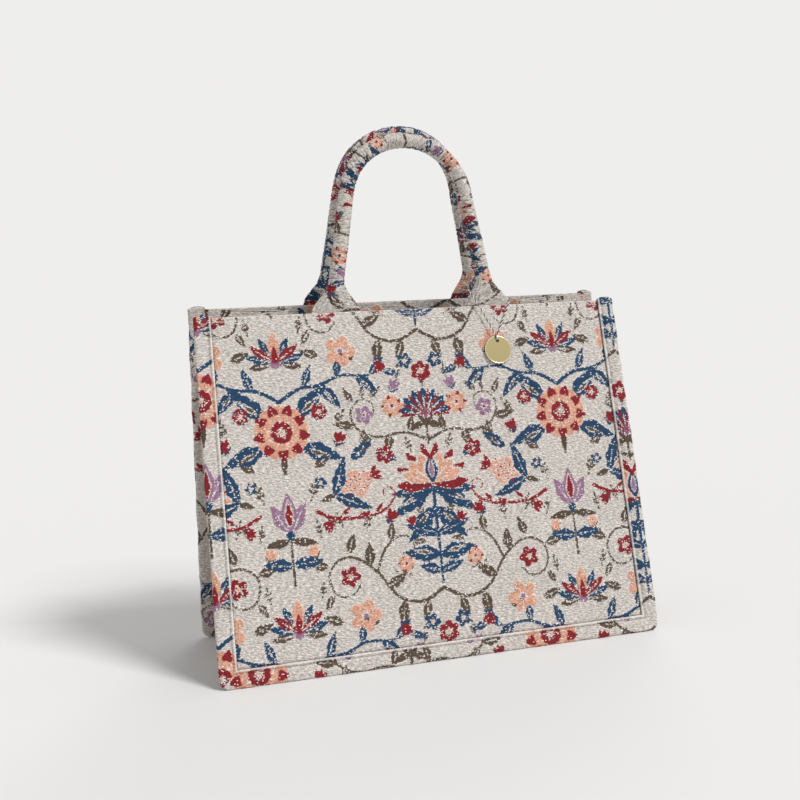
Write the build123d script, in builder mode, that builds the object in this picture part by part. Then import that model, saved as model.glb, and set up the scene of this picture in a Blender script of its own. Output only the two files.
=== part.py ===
from build123d import *
from math import cos, hypot, pi, radians, sin, sqrt, tan
import os

# Open-topped woven-cloth tote bag with two rolled handles and a brass tag on a cord.
#
# The front and back walls are stiffened cloth panels that lean together, the gussets fold inwards
# between them, and the gusset and base cloth turns over the panels' edges as a puffed band.
# Frame: X across the front, -Y is the front, +Z is up, and the origin is the middle of the base's
# underside, on the surface that the bag stands on.

os.makedirs("parts", exist_ok=True)

# Body, in millimetres and degrees
body_width = 400.0
rim_taper = 5.0
panel_height = 311.0
base_depth = 150.0
front_lean = 13.6
back_lean = 5.7

# Cloth, boards and seams
cloth = 1.2
panel_board = 2.0
base_board_thickness = 2.5
lining_cloth = 0.8
seam_clearance = 0.05
band_width = 15.0
band_puff = 2.3
band_crown_run = 7.5
band_rise = 2.5
edge_wrap = 2.5
facing_height = 30.0
fold_slack = 0.6
loft_overrun = 15.0

# Handles
handle_diameter = 13.5
handle_reach = 152.5
handle_top_radius = 56.0
handle_leg_angle = 10.0
handle_lean = 4.5
foot_spacing = 142.0
foot_width = 44.0
foot_rise = 26.0
foot_roundness = 0.49
tail_length = 22.0

# Brass tag, placed on the front panel by its centre
tag_diameter = 26.0
tag_thickness = 1.0
tag_across = 75.5
tag_up = 268.5
tag_stand_off = 1.55
tag_hole_diameter = 3.4
tag_hole_edge = 4.6
tag_rim_round = 0.3
tag_cord_diameter = 1.0
knot_diameter = 2.8

# Woven figures, as shapes of cloth colour on the panels
figure_thickness = 0.25
cell_width = 260.0
cell_height = 230.0
first_row = 146.0
FIGURE_COLOURS = ("peach", "mauve", "red", "blue", "brown")

# Layout of the figures in half a cell, from its mirror line: places, then turns and sizes
LOTUS_LEAVES = ((4, -112, 46, 14), (2, -84, 40, 12), (-14, -128, 40, 13), (-44, -66, 34, 13))
LOTUS_PETALS = ((-82, 33), (-56, 36), (-30, 37), (-4, 38))
CARNATION_PETALS = (-76, -50, -25, 0)
PEONY = (130, 62)
PEONY_LEAVES = ((118, 74, 58, 40), (114, 50, 122, 38))
TULIP = (130, -22)
PALMETTE = (130, -108)
FRUIT = (88, 4)
TENDRIL = ((104, -6), (84, -14), (50, -13), (38, 0), (44, 10))
LOW_STEM = (
    (0, -84), (20, -96), (44, -88), (58, -62), (82, -46), (102, -58), (98, -80), (82, -84), (74, -74),
)
MIDDLE_STEM = ((58, -64), (50, -44), (34, -34), (22, -40), (24, -52), (34, -52))
HIGH_STEM = ((0, 46), (22, 56), (44, 50), (64, 58), (70, 76), (58, 88), (46, 82), (48, 72))
BRANCH = ((130, 88), (112, 100), (92, 100), (74, 110), (48, 107))
BRANCH_LEAVES = (
    (92, 101, 150, 27), (78, 108, 20, 20), (60, 108, 140, 26), (30, 30, -60, 22), (72, 34, 60, 26),
)
STEM_LEAVES = (
    (36, -92, -160, 22), (50, -78, 70, 20), (64, -58, 10, 20), (100, -56, -70, 17), (52, 52, -130, 19),
    (66, 62, -70, 18), (50, 88, 60, 14), (104, 30, 60, 18), (60, -106, -80, 20),
)
SMALL_FLOWERS = (
    (82, -66, 8.5, "red"), (32, -60, 7, "peach"), (56, 72, 8, "mauve"), (30, 78, 9.5, "peach"),
    (72, -100, 13, "peach"), (46, 30, 8.5, "red"), (96, 78, 7, "red"), (14, -112, 7, "blue"),
)
BUDS = ((44, -22, 40, 12, "red"), (82, 48, 20, 12, "red"), (40, -110, 160, 12, "red"))
stem_width = 2.8
leaf_fat = 0.45
leaf_shoulder = 0.72
stem_leaf_share = 0.44
petal_dip = 0.74
heart_share = 0.3
peony_radius = 20.0
peony_petals = 7
peony_heart_share = 0.42
peony_tips = 1.2

FRONT = -1
BACK = 1
LEANS = {FRONT: front_lean, BACK: back_lean}
NAMES = {FRONT: "front", BACK: "back"}

# Depths behind the outermost face of a wall
panel_face = band_puff
board_face = band_puff + cloth
cavity_face = board_face + panel_board
half_depth = base_depth / 2
board_margin = band_width + seam_clearance
board_top = cloth + base_board_thickness


def half_width(up):
    """Half the bag's width at a height along the slope of a wall."""
    return (body_width - rim_taper * up / panel_height) / 2


def wall_foot(side):
    """Y of a wall's outer face at the floor, set back so that its rounded edge ends at the depth."""
    lean = radians(LEANS[side])
    return side * (half_depth + band_puff * (cos(lean) + sin(lean) - 1))


def wall_point(side, across, up, depth):
    """Point of a wall: across it, up its slope, and depth behind its outer face."""
    lean = radians(LEANS[side])
    y = wall_foot(side) - side * (up * sin(lean) + depth * cos(lean))
    return Vector(across, y, up * cos(lean) - depth * sin(lean))


def wall_plane(side, depth):
    """Plane of a wall seen from outside: X across, Y up the slope, Z outwards."""
    lean = radians(LEANS[side])
    return Plane(
        origin=wall_point(side, 0, 0, depth),
        x_dir=(-side, 0, 0),
        z_dir=(0, side * cos(lean), sin(lean)),
    )


def slope_plane(side, up):
    """Plane across a wall's slope: X across, Y into the bag."""
    lean = radians(LEANS[side])
    return Plane(
        origin=wall_point(side, 0, up, 0),
        x_dir=(-side, 0, 0),
        z_dir=(0, -side * sin(lean), cos(lean)),
    )


def level_corner(side, height, depth):
    """X and Y of the seam line at a level height, depth behind a wall's outer face."""
    lean = radians(LEANS[side])
    up = (height + depth * sin(lean)) / cos(lean)
    corner = wall_point(side, half_width(up) - band_width, up, depth)
    return corner.X, corner.Y


def top_line_plane(drop, depth):
    """Plane through both walls' top lines at a depth, or at a drop below them."""
    front = wall_point(FRONT, 0, panel_height - drop, depth)
    back = wall_point(BACK, 0, panel_height - drop, depth)
    across = back - front
    return Plane(origin=front, x_dir=(1, 0, 0), z_dir=(0, -across.Z, across.Y))


rim_plane = top_line_plane(0, cavity_face)
facing_plane = top_line_plane(facing_height, cavity_face)
floor_cloth_plane = Plane.XY.offset(cloth)

# Gusset fold: the cloth keeps the width it has at the base, so it folds inwards as the walls lean
rim_height = wall_point(FRONT, 0, panel_height, cavity_face).Z
over_rim = rim_height + loft_overrun
fold_shares = [0.0, 0.12, 0.35, 0.65, 1.0]
fold_levels = [cloth + share * (over_rim - cloth) for share in fold_shares]


def half_gap(height):
    """Half the distance between the walls' inner faces at a level height."""
    return (level_corner(BACK, height, cavity_face)[1] - level_corner(FRONT, height, cavity_face)[1]) / 2


def fold_depth(height):
    """How far a gusset's middle crease stands inside the seam line."""
    rim_fold = sqrt(half_gap(cloth) ** 2 - half_gap(rim_height) ** 2)
    share = (height - cloth) / (rim_height - cloth)
    return max(cloth, rim_fold * share**fold_slack)


def cavity_outline(height, inset):
    """Outline of the bag's inside at a level height, with its walls brought in by an inset."""
    front_x, front_y = level_corner(FRONT, height, cavity_face)
    back_x, back_y = level_corner(BACK, height, cavity_face)
    gap = (back_y - front_y) / 2
    fold = fold_depth(height)
    side_length = hypot(gap, fold)
    corner_shift = inset * (side_length + fold) / gap
    crease_shift = inset * side_length / gap
    crease_x = (front_x + back_x) / 2 - fold - crease_shift
    crease_y = (front_y + back_y) / 2
    right = [
        (front_x - corner_shift, front_y + inset),
        (crease_x, crease_y),
        (back_x - corner_shift, back_y - inset),
    ]
    return right + [(-x, y) for x, y in reversed(right)]


def gusset_outline(height):
    """Section of the right gusset's cloth between its two bands at a level height."""
    front_x, front_y = level_corner(FRONT, height, cavity_face)
    back_x, back_y = level_corner(BACK, height, cavity_face)
    root_front = level_corner(FRONT, height, board_face)[1]
    root_back = level_corner(BACK, height, board_face)[1]
    gap = (back_y - front_y) / 2
    fold = fold_depth(height)
    side_length = hypot(gap, fold)
    root_shift = cloth * (side_length - gap) / fold
    crease_x = (front_x + back_x) / 2 - fold
    crease_y = (front_y + back_y) / 2
    return [
        (front_x, root_front),
        (front_x, front_y),
        (crease_x, crease_y),
        (back_x, back_y),
        (back_x, root_back),
        (back_x + cloth, root_back),
        (back_x + cloth, back_y - root_shift),
        (crease_x + cloth * side_length / gap, crease_y),
        (front_x + cloth, front_y + root_shift),
        (front_x + cloth, root_front),
    ]


def write(piece, name):
    """Label a finished piece and write its file."""
    piece.part.label = name
    export_step(piece.part, f"parts/{name}.step")


def panel_outline(low, high, low_margin, high_margin):
    """Corners of a wall layer between two heights, with side margins at the low and high end."""
    low_half = half_width(low) - low_margin
    high_half = half_width(high) - high_margin
    return [(-low_half, low), (low_half, low), (high_half, high), (-high_half, high)]


def foot_centres():
    return [(-foot_spacing / 2, panel_height), (foot_spacing / 2, panel_height)]


# Panels: cloth sheets with the top edge turned in over the board, open where the handles go in
for side in (FRONT, BACK):
    with BuildPart() as panel:
        with BuildSketch(wall_plane(side, board_face)):
            Polygon(*panel_outline(-band_puff, panel_height, edge_wrap, edge_wrap), align=None)
        extrude(amount=cloth)
        with BuildSketch(wall_plane(side, cavity_face)):
            Polygon(
                *panel_outline(panel_height - cloth, panel_height, board_margin, board_margin),
                align=None,
            )
            with Locations(*foot_centres()):
                Rectangle(foot_width, 4 * cloth, mode=Mode.SUBTRACT)
        extrude(amount=panel_board)
        split(bisect_by=floor_cloth_plane, keep=Keep.TOP)
    write(panel, f"{NAMES[side]}_panel")

# Boards that keep the panels flat, notched for the handles' sewn-in tails
for side in (FRONT, BACK):
    with BuildPart() as stiffener:
        with BuildSketch(wall_plane(side, cavity_face)):
            Polygon(*panel_outline(-band_puff, panel_height - cloth, board_margin, board_margin), align=None)
            with Locations(*foot_centres()):
                Rectangle(foot_width, 2 * tail_length, mode=Mode.SUBTRACT)
        extrude(amount=panel_board)
        split(bisect_by=floor_cloth_plane, keep=Keep.TOP)
    write(stiffener, f"{NAMES[side]}_board")

# Board that keeps the base flat, between the foot of each panel board
with BuildPart() as base_board:
    for height in (cloth, board_top):
        with BuildSketch(Plane.XY.offset(height)):
            Polygon(*cavity_outline(height, 0), align=None)
    loft(ruled=True)
write(base_board, "base_board")


def inside_block(low, inset):
    """The bag's inside from a level height to above the rim, brought in by an inset."""
    levels = [low] + [height for height in fold_levels if height > low + board_top]
    with BuildPart() as block:
        for height in levels:
            with BuildSketch(Plane.XY.offset(height)):
                Polygon(*cavity_outline(height, inset), align=None)
        loft(ruled=True)
    return block.part


# Lining: a thin sewn sack up to the facing, and the facing: a cloth ring round the mouth
lining_outside = inside_block(board_top, 0)
lining_inside = inside_block(board_top + lining_cloth, lining_cloth)
facing_inside = inside_block(board_top, cloth)

with BuildPart() as lining:
    add(lining_outside)
    add(lining_inside, mode=Mode.SUBTRACT)
    split(bisect_by=facing_plane, keep=Keep.BOTTOM)
write(lining, "lining")

with BuildPart() as rim_facing:
    add(lining_outside)
    add(facing_inside, mode=Mode.SUBTRACT)
    split(bisect_by=facing_plane, keep=Keep.TOP)
    split(bisect_by=rim_plane, keep=Keep.BOTTOM)
write(rim_facing, "rim_facing")


def band_face_section():
    """Puffed face of a band: its seam line at X = 0, its crown on Y = 0, its outer edge at band_width."""
    seam = (0, panel_face)
    crown = (band_width - band_crown_run, 0)
    shoulder = (band_width - band_puff, 0)
    outer = (band_width, panel_face)
    with BuildSketch() as section:
        with BuildLine():
            TangentArc(crown, seam, tangent=(-1, 0))
            Line(crown, shoulder)
            TangentArc(shoulder, outer, tangent=(1, 0))
            Line(outer, seam)
        make_face()
    return section.sketch


def band_back_section():
    """Back of a side band: the cloth wraps round the panel's edge and runs in behind it."""
    outer = (band_width, panel_face)
    turned = (band_width - 2 * cloth, panel_face + 2 * cloth)
    with BuildSketch() as section:
        with BuildLine():
            TangentArc(outer, turned, tangent=(0, 1))
            Polyline(
                turned,
                (0, panel_face + 2 * cloth),
                (0, board_face),
                (band_width - edge_wrap, board_face),
                (band_width - edge_wrap, panel_face),
                outer,
            )
        make_face()
    return section.sketch


def side_band(side, hand, section):
    """Length of a band's section along one upright edge of a wall, a little past both ends."""
    local_hand = -side * hand
    turned = section if local_hand > 0 else mirror(section, about=Plane.YZ)
    with BuildPart() as band:
        for up in (-2 * band_puff, panel_height + band_rise):
            with BuildSketch(slope_plane(side, up)):
                with Locations((local_hand * (half_width(up) - band_width), 0)):
                    add(turned)
        loft(ruled=True)
    return band.part


def band_mitre(side, hand):
    """Plane of the mitre between a side band and the base's band, facing the side band."""
    local_hand = -side * hand
    wall = wall_plane(side, 0)
    outer = wall.from_local_coords((local_hand * half_width(0), 0, 0))
    inner = wall.from_local_coords((local_hand * (half_width(band_width) - band_width), band_width, 0))
    normal = (inner - outer).cross(wall.z_dir)
    return Plane(origin=outer, z_dir=normal if normal.Z > 0 else -normal)


# Gussets: one cloth each, folded inwards between the bands that it turns into
for hand, name in ((-1, "left_gusset"), (1, "right_gusset")):
    bands = []
    for side in (FRONT, BACK):
        bands.append(split(side_band(side, hand, band_face_section()), bisect_by=band_mitre(side, hand)))
        bands.append(split(side_band(side, hand, band_back_section()), bisect_by=floor_cloth_plane))
    with BuildPart() as gusset:
        for height in fold_levels:
            with BuildSketch(Plane.XY.offset(height)):
                Polygon(*[(hand * x, y) for x, y in gusset_outline(height)], align=None)
        loft(ruled=True)
        split(bisect_by=rim_plane, keep=Keep.BOTTOM)
        add(bands)
        split(bisect_by=Plane.XY, keep=Keep.TOP)
    write(gusset, name)


def base_band(side):
    """Band along the foot of a wall, cut to a mitre at both ends."""
    lean = radians(LEANS[side])
    start = wall_point(side, side * half_width(0), band_width, 0)
    section_plane = Plane(origin=start, x_dir=(0, side * sin(lean), -cos(lean)), z_dir=(-side, 0, 0))
    with BuildPart() as band:
        with BuildSketch(section_plane):
            add(band_face_section())
        extrude(amount=2 * half_width(0))
        for hand in (-1, 1):
            split(bisect_by=band_mitre(side, hand), keep=Keep.BOTTOM)
        split(bisect_by=Plane.XY, keep=Keep.TOP)
    return band.part


# Base: one cloth, flat on the floor and turned up over the panels' lower edges
base_bands = [base_band(side) for side in (FRONT, BACK)]
with BuildPart() as base_panel:
    corner_x = level_corner(FRONT, 0, cavity_face)[0] + cloth
    front_y = wall_point(FRONT, 0, 0, panel_face).Y
    back_y = wall_point(BACK, 0, 0, panel_face).Y
    strip = 2 * cloth
    with BuildSketch():
        Polygon(
            (-half_width(0), front_y),
            (half_width(0), front_y),
            (half_width(0), front_y + strip),
            (corner_x, front_y + strip),
            (corner_x, back_y - strip),
            (half_width(0), back_y - strip),
            (half_width(0), back_y),
            (-half_width(0), back_y),
            (-half_width(0), back_y - strip),
            (-corner_x, back_y - strip),
            (-corner_x, front_y + strip),
            (-half_width(0), front_y + strip),
            align=None,
        )
    extrude(amount=cloth)
    add(base_bands)
write(base_panel, "base_panel")


def handle_plane(side):
    """Plane of a handle's centreline, from the middle of its sewn-in feet at the rim."""
    lean = radians(handle_lean)
    return Plane(
        origin=wall_point(side, 0, panel_height, board_face + panel_board / 2),
        x_dir=(1, 0, 0),
        z_dir=(0, -cos(lean), -side * sin(lean)),
    )


# Handle centreline: a round top with straight legs that spread to the feet
leg_lean = radians(handle_leg_angle)
arc_end_x = handle_top_radius * cos(leg_lean)
arc_end_y = handle_reach - handle_top_radius * (1 - sin(leg_lean))
neck_x = arc_end_x + (arc_end_y - foot_rise) * tan(leg_lean)
core_diameter = handle_diameter - 2 * cloth


def handle_line(side):
    """Centreline of a handle from neck to neck."""
    with BuildLine(handle_plane(side)) as line:
        Line((neck_x, foot_rise), (arc_end_x, arc_end_y))
        ThreePointArc((arc_end_x, arc_end_y), (0, handle_reach), (-arc_end_x, arc_end_y))
        Line((-arc_end_x, arc_end_y), (-neck_x, foot_rise))
    return line.wires()[0]


def handle_rod(side, diameter):
    """Round rod of a diameter along a handle's centreline."""
    path = handle_line(side)
    with BuildPart() as rod:
        with BuildSketch(Plane(origin=path @ 0, z_dir=path % 0)):
            Circle(diameter / 2)
        sweep(path=path)
    return rod.part


def handle_foot(side, hand):
    """Fan-shaped foot: the rolled cloth opens out from the neck to a flat tail in the rim."""
    plane = handle_plane(side)
    lean = radians(LEANS[side])
    sections = [
        (0.0, foot_width, panel_board),
        (0.16, 0.93 * foot_width, 0.40 * handle_diameter),
        (0.42, 0.70 * foot_width, 0.66 * handle_diameter),
        (0.72, 0.42 * foot_width, 0.90 * handle_diameter),
        (1.0, handle_diameter, handle_diameter),
    ]
    with BuildPart() as foot:
        for share, width, thickness in sections:
            centre_x = foot_spacing / 2 + (neck_x - foot_spacing / 2) * share
            turn = leg_lean * share
            origin = plane.from_local_coords((hand * centre_x, foot_rise * share, 0))
            ahead = plane.x_dir * (-hand * sin(turn)) + plane.y_dir * cos(turn)
            if share == 0:
                ahead = Vector(0, -side * sin(lean), cos(lean))
            across = ahead.cross(plane.z_dir)
            with BuildSketch(Plane(origin=origin, x_dir=across, z_dir=ahead)):
                RectangleRounded(width, thickness, foot_roundness * thickness)
        loft()
        with BuildSketch(wall_plane(side, cavity_face)):
            with Locations((-side * hand * foot_spacing / 2, panel_height - tail_length / 2)):
                Rectangle(foot_width, tail_length)
        extrude(amount=panel_board)
    return foot.part


# Handles: a rope core in a rolled cloth cover, whose flat tails are sewn in behind the rim
for side in (FRONT, BACK):
    core = handle_rod(side, core_diameter)
    feet = [handle_foot(side, hand) for hand in (-1, 1)]
    with BuildPart() as handle_cover:
        add(handle_rod(side, handle_diameter))
        add(feet)
        add(core, mode=Mode.SUBTRACT)
    write(handle_cover, f"{NAMES[side]}_handle_cover")
    with BuildPart() as handle_core:
        add(core)
    write(handle_core, f"{NAMES[side]}_handle_core")

# Brass tag: a thin disc that hangs against the front panel, with a hole near its top edge
tag_back = panel_face - tag_stand_off
hole_up = tag_up + tag_diameter / 2 - tag_hole_edge
with BuildPart() as tag:
    with BuildSketch(wall_plane(FRONT, tag_back)):
        with Locations((tag_across, tag_up)):
            Circle(tag_diameter / 2)
        with Locations((tag_across, hole_up)):
            Circle(tag_hole_diameter / 2, mode=Mode.SUBTRACT)
    extrude(amount=tag_thickness)
    outer_edges = tag.edges().filter_by(GeomType.CIRCLE).sort_by(SortBy.RADIUS)[-2:]
    fillet(outer_edges, tag_rim_round)
write(tag, "tag")

# Tag cord: from its knot behind the front handle's right foot, round the foot's left side, down
# over the rim and through the tag's hole, up behind the tag and back round the foot's right side
cord_points = [
    (70.8, 9.2, 313.0),
    (65.4, 9.8, 314.2),
    (59.0, 8.8, 315.8),
    (54.0, 4.4, 316.4),
    (54.9, -2.4, 312.6),
    (60.6, -3.9, 303.2),
    (67.8, -7.3, 288.0),
    (73.2, -10.3, 276.4),
    (75.5, -11.3, 270.3),
    (75.7, -8.8, 269.4),
    (77.0, -7.8, 274.4),
    (81.8, -5.4, 284.6),
    (90.6, -2.4, 300.9),
    (93.0, 1.4, 306.4),
    (90.4, 7.0, 309.6),
    (84.2, 9.2, 311.8),
    (78.0, 9.5, 312.4),
]


def corner_radii(points):
    """Radius of each inner corner: 0.45 of its shorter run, over the tangent of half its turn."""
    radii = []
    for before, corner, after in zip(points, points[1:], points[2:]):
        turn = radians((corner - before).get_angle(after - corner))
        radii.append(0.45 * min((corner - before).length, (after - corner).length) / tan(turn / 2))
    return radii


route = [Vector(*point) for point in cord_points]
cord_radii = corner_radii(route)
print("cord radii", [round(radius, 1) for radius in cord_radii])
with BuildPart() as tag_cord:
    with BuildLine() as cord_line:
        FilletPolyline(*route, radius=cord_radii)
    cord_path = cord_line.wires()[0]
    with BuildSketch(Plane(origin=cord_path @ 0, z_dir=cord_path % 0)):
        Circle(tag_cord_diameter / 2)
    sweep(path=cord_path)
write(tag_cord, "tag_cord")
cord_volume = cord_path.length * pi * tag_cord_diameter**2 / 4
print("cord length", round(cord_path.length, 1), "volume ratio", tag_cord.part.volume / cord_volume)

with BuildPart() as tag_knot:
    with Locations((route[0] + route[-1]) / 2):
        Sphere(knot_diameter / 2)
    add(tag_cord.part, mode=Mode.SUBTRACT)
write(tag_knot, "tag_knot")


def leaf(across, up, turn, length, width):
    """Pointed leaf from its stalk end, turned anticlockwise from straight up."""
    return outline_at(
        across,
        up,
        turn,
        [
            (0, 0),
            (width / 2, leaf_fat * length),
            (0.7 * width / 2, leaf_shoulder * length),
            (0, length),
            (-0.7 * width / 2, leaf_shoulder * length),
            (-width / 2, leaf_fat * length),
        ],
    )


def petal(across, up, turn, length, width):
    """Petal or small leaf from its stalk end: a kite."""
    middle = leaf_fat * length
    return outline_at(across, up, turn, [(0, 0), (width / 2, middle), (0, length), (-width / 2, middle)])


def outline_at(across, up, turn, points):
    with BuildSketch() as sketch:
        with Locations(Location((across, up, 0), (0, 0, turn))):
            Polygon(*points, align=None)
    return sketch.sketch


def rosette(across, up, radius, petals, turn=0, heart=0.0):
    """Round flower: an outline that dips between its petals, with a hole where its heart shows."""
    points = []
    for corner in range(2 * petals):
        reach = radius if corner % 2 == 0 else petal_dip * radius
        points.append((reach * sin(pi * corner / petals), reach * cos(pi * corner / petals)))
    with BuildSketch() as sketch:
        with Locations(Location((across, up, 0), (0, 0, turn))):
            Polygon(*points, align=None)
            if heart:
                RegularPolygon(heart * radius, petals, mode=Mode.SUBTRACT)
    return sketch.sketch


def spray(across, up, petals, dip, width):
    """Fan of petals that spreads to both sides, as one outline: (turn, length) of each petal."""
    spread = sorted({(hand * turn, length) for turn, length in petals for hand in (1, -1)})
    points = [(0, -width / 2)]
    for number, (turn, length) in enumerate(spread):
        if number:
            middle = (turn + spread[number - 1][0]) / 2
            points.append((-dip * length * sin(radians(middle)), dip * length * cos(radians(middle))))
        points.append((-length * sin(radians(turn)), length * cos(radians(turn))))
    return outline_at(across, up, 0, points)


def strip(points):
    """Stem along points, as a strip."""
    with BuildSketch() as sketch:
        with BuildLine():
            Polyline(*points)
        trace(line_width=stem_width)
    return sketch.sketch


def half_cell():
    """Figures of half a cell and of its two mirror lines, as (colour, sketch) pairs."""
    edge = cell_width / 2
    figures = [("blue", strip([(0, -80), (0, 4)])), ("brown", strip([(0, 38), (0, 66)]))]

    # Great flower on its leafy stalk, with a fan of petals above it
    figures += [("blue", leaf(0, up, turn, length, width)) for up, turn, length, width in LOTUS_LEAVES]
    figures.append(("red", spray(0, 6, LOTUS_PETALS, 0.78, 10)))
    inner = [(turn, 0.76 * length) for turn, length in LOTUS_PETALS[1:]]
    figures.append(("peach", spray(0, 8, inner, 0.7, 8) - leaf(0, 9, 0, 22, 10)))
    figures.append(("mauve", petal(0, 13, 0, 15, 5)))
    figures.append(("blue", spray(0, 68, [(turn, 25) for turn in CARNATION_PETALS], 0.8, 8)))
    figures += [("brown", petal(0, 62, -100, 18, 7)), ("red", rosette(0, 108, 9, 5))]

    # Great round flower on the edge, with a tulip and a low spreading flower under it
    figures += [("blue", leaf(*place, 14)) for place in PEONY_LEAVES]
    figures.append(("peach", rosette(*PEONY, peony_radius, peony_petals, heart=peony_heart_share)))
    figures.append(("red", rosette(*PEONY, peony_tips * peony_radius, peony_petals, 180 / peony_petals)))
    across, up = TULIP
    figures.append(("brown", strip([(edge, up - 46), (edge, up)])))
    figures.append(("mauve", leaf(edge, up, 0, 32, 15) - petal(edge, up + 4, 0, 20, 7)))
    figures += [("red", petal(edge, up + 4, 0, 20, 7)), ("mauve", petal(edge - 2, up, 44, 28, 11))]
    figures += [("brown", petal(edge, up - 8, 112, 24, 8)), ("blue", petal(edge, up - 30, 74, 26, 10))]
    across, up = PALMETTE
    figures.append(("peach", leaf(edge, up, 0, 28, 11)))
    for turn, length, colour in ((92, 24, "brown"), (68, 27, "blue"), (46, 27, "red"), (23, 27, "blue")):
        figures.append((colour, petal(edge, up, turn, length, 8)))

    # Fruit on its tendril
    across, up = FRUIT
    figures.append(("peach", leaf(across, up, 66, 40, 24)))
    figures.append(("blue", petal(across - 2, up + 8, 54, 44, 14)))
    figures += [("blue", petal(across, up, -50, 18, 7)), ("brown", petal(across, up, -95, 15, 6))]
    figures.append(("red", strip(TENDRIL)))
    figures.append(("red", petal(across - 20, up - 15, 110, 11, 5)))

    # Winding stems with their leaves, flowers and buds
    figures += [("brown", strip(points)) for points in (LOW_STEM, MIDDLE_STEM, HIGH_STEM)]
    figures.append(("blue", strip(BRANCH)))
    figures += [("blue", petal(*place, 0.36 * place[-1])) for place in BRANCH_LEAVES]
    figures += [("brown", petal(*place, stem_leaf_share * place[-1])) for place in STEM_LEAVES]
    for across, up, radius, colour in SMALL_FLOWERS:
        figures.append((colour, rosette(across, up, radius, 5, 20, heart_share if radius > 10 else 0.0)))
    for across, up, turn, size, colour in BUDS:
        figures.append((colour, petal(across, up, turn, size, 0.8 * size)))
    return figures


def figure_shapes():
    """Shapes of each cloth colour all over a panel: the half cell, mirrored and repeated."""
    shapes = {colour: [] for colour in FIGURE_COLOURS}
    seen = set()
    for colour, sketch in half_cell():
        for hand in (1, -1):
            turned = sketch if hand > 0 else sketch.mirror(Plane.YZ)
            for column in (-1, 0, 1):
                for row in (-1, 0, 1):
                    placed = turned.moved(Location((column * cell_width, first_row + row * cell_height, 0)))
                    middle = placed.bounding_box().center()
                    key = (colour, round(middle.X, 1), round(middle.Y, 1), round(placed.area, 1))
                    reach = placed.bounding_box().size / 2
                    beside = abs(middle.X) - reach.X > body_width / 2
                    beyond = abs(middle.Y - panel_height / 2) - reach.Y > panel_height / 2
                    if not beside and not beyond and key not in seen:
                        seen.add(key)
                        shapes[colour].append(placed)
    return shapes


# Woven figures: each colour of the cloth's pattern as flat shapes on a panel's face
covered = []
layers = {}
for colour, shapes in figure_shapes().items():
    with BuildSketch() as layer:
        Polygon(*panel_outline(band_width, panel_height - 3 * cloth, band_width, band_width), align=None)
        with BuildSketch(mode=Mode.INTERSECT):
            add(shapes)
        if covered:
            add(covered, mode=Mode.SUBTRACT)
    layers[colour] = layer.sketch
    covered = covered + shapes

for side in (FRONT, BACK):
    for colour, layer in layers.items():
        with BuildPart() as figures:
            with BuildSketch(wall_plane(side, panel_face)):
                add(layer)
            extrude(amount=figure_thickness)
        write(figures, f"{NAMES[side]}_{colour}_figures")
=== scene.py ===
import bpy
import numpy as np
from math import cos, hypot, pi, radians, sin, sqrt, tan
from mathutils import Matrix, Vector


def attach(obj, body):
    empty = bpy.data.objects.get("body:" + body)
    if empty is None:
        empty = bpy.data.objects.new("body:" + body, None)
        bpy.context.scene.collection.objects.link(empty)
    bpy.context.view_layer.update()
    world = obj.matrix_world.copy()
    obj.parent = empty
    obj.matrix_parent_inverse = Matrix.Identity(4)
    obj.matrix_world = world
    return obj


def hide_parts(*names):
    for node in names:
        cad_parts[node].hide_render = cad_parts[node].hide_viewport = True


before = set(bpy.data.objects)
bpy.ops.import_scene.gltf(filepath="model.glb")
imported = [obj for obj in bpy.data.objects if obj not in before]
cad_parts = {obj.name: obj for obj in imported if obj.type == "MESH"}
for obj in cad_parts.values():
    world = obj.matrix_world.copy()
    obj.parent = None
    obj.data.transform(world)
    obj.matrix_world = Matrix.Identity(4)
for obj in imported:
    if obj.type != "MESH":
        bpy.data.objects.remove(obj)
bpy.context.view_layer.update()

# Sizes of the bag in millimetres and degrees, as built
MM = 0.001
body_width = 400.0
rim_width = 395.0
panel_height = 311.0
base_depth = 150.0
front_lean = 13.6
back_lean = 5.7
cloth = 1.2
panel_board = 2.0
base_board_thickness = 2.5
band_width = 15.0
band_puff = 2.3
band_rise = 2.5
facing_height = 30.0
fold_slack = 0.6
handle_diameter = 13.5
handle_reach = 152.5
handle_top_radius = 56.0
handle_leg_angle = 10.0
handle_lean = 4.5
foot_spacing = 142.0
foot_width = 44.0
foot_rise = 26.0
tag_diameter = 26.0
tag_across = 75.5
tag_up = 268.5
tag_stand_off = 1.55
tag_thickness = 1.0
knot_diameter = 2.8
stitch_length = 2.6
stitch_gap = 1.2
stitch_radius = 0.28
stitch_drop = 4.2
thread_sides = 6

# Weave: one thread's float, in mm, and the slubs' slant and grain
thread_size = (1.15, 0.8, 1.0)
slub_slant = 12.0
slub_stretch = (0.30, 1.0, 1.0)
slub_scale = 0.95
edge_stray = 0.65
outline_strength = 0.62
missed_share = 0.05
# Strength of the pale fold lines: partly wear, partly painted highlight.
fold_wear_and_highlight = 0.7
# Strength of the painted shade in creases.
hollow_shade = 0.62
rib_spacing = 2.4
slub_relief = 1.5
figure_relief = 0.8
rib_relief = 0.08

FRONT = -1
BACK = 1
SIDES = (FRONT, BACK)
HANDS = {-1: "left", 1: "right"}
LEANS = {FRONT: radians(front_lean), BACK: radians(back_lean)}
NAMES = {FRONT: "front", BACK: "back"}
panel_face = band_puff
board_face = band_puff + cloth
cavity_face = board_face + panel_board

# Woven pattern: flowers, leaves and winding stems, mirrored in the middle of each cell
cell_width = 260.0
cell_height = 230.0
first_row = 146.0
table_step = 0.5
field_reach = 2.5
leaf_step = 0.7
stroke_step = 0.8
YARNS = ("red", "mauve", "peach", "blue", "brown")

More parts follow.
